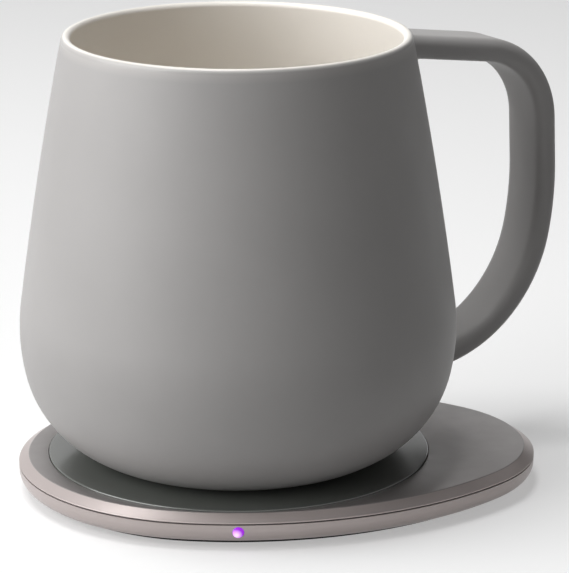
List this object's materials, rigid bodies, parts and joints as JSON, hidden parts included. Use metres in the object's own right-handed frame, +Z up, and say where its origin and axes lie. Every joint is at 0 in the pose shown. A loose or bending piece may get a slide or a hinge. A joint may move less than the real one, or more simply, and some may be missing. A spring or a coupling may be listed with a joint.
{
  "type": "mug warmer",
  "caption": "Low oval warming pad with a round glass plate and a lit dot, carrying a rounded ceramic mug with a strap handle.",
  "frame": {"origin": "on the surface the pad stands on, below the centre of the round glass plate", "axes": "+Z up; +X along the pad's long axis to its rounded nose; +Y to the side with the power inlet, away from the lit dot"},
  "size_m": [0.1199, 0.092, 0.0974],
  "materials": {
    "silicone": "matt silicone",
    "adhesive": "thin glue film",
    "case_paint": "satin pinkish grey",
    "gasket_rubber": "matt black",
    "cover_metal": "satin warm grey with a pinkish sloped edge",
    "dark_glass": "polished dark grey glass, opaque from behind",
    "spreader_metal": "plain",
    "film": "amber film",
    "contact_metal": "plain",
    "insulation": "pale foam",
    "sensor_body": "black bead",
    "board": "green board",
    "inlet_metal": "plated",
    "black_plastic": "black moulding",
    "lamp_lens": "clear lens lit violet",
    "led_body": "white package",
    "capacitor_body": "brown ceramic",
    "inductor_body": "grey ferrite",
    "screw_steel": "plain",
    "mug_glaze": "matt warm grey glaze",
    "cream_glaze": "satin cream glaze"
  },
  "bodies": {
    "pad": {"silicone_foot": "silicone", "foot_adhesive": "adhesive", "lower_case": "case_paint", "seam_gasket": "gasket_rubber", "top_cover": "cover_metal", "glass_plate": "dark_glass", "glass_adhesive": "adhesive", "heat_spreader": "spreader_metal", "heating_film": "film", "heater_leads": "contact_metal", "insulation_disc": "insulation", "temperature_sensor": "sensor_body", "circuit_board": "board", "inlet_shell": "inlet_metal", "inlet_tongue": "black_plastic", "light_guide": "lamp_lens", "indicator_led": "led_body", "controller_chip": "black_plastic", "driver_chips": "black_plastic", "capacitors": "capacitor_body", "power_inductors": "inductor_body", "case_screws": "screw_steel"},
    "mug": {"mug_body": "mug_glaze", "inner_glaze": "cream_glaze", "mug_handle": "mug_glaze"}
  },
  "joints": [
    {"name": "mug_lift", "type": "slide", "parent": "pad", "child": "mug", "axis": [0, 0, 1], "range_m": [0, 0.12]}
  ]
}
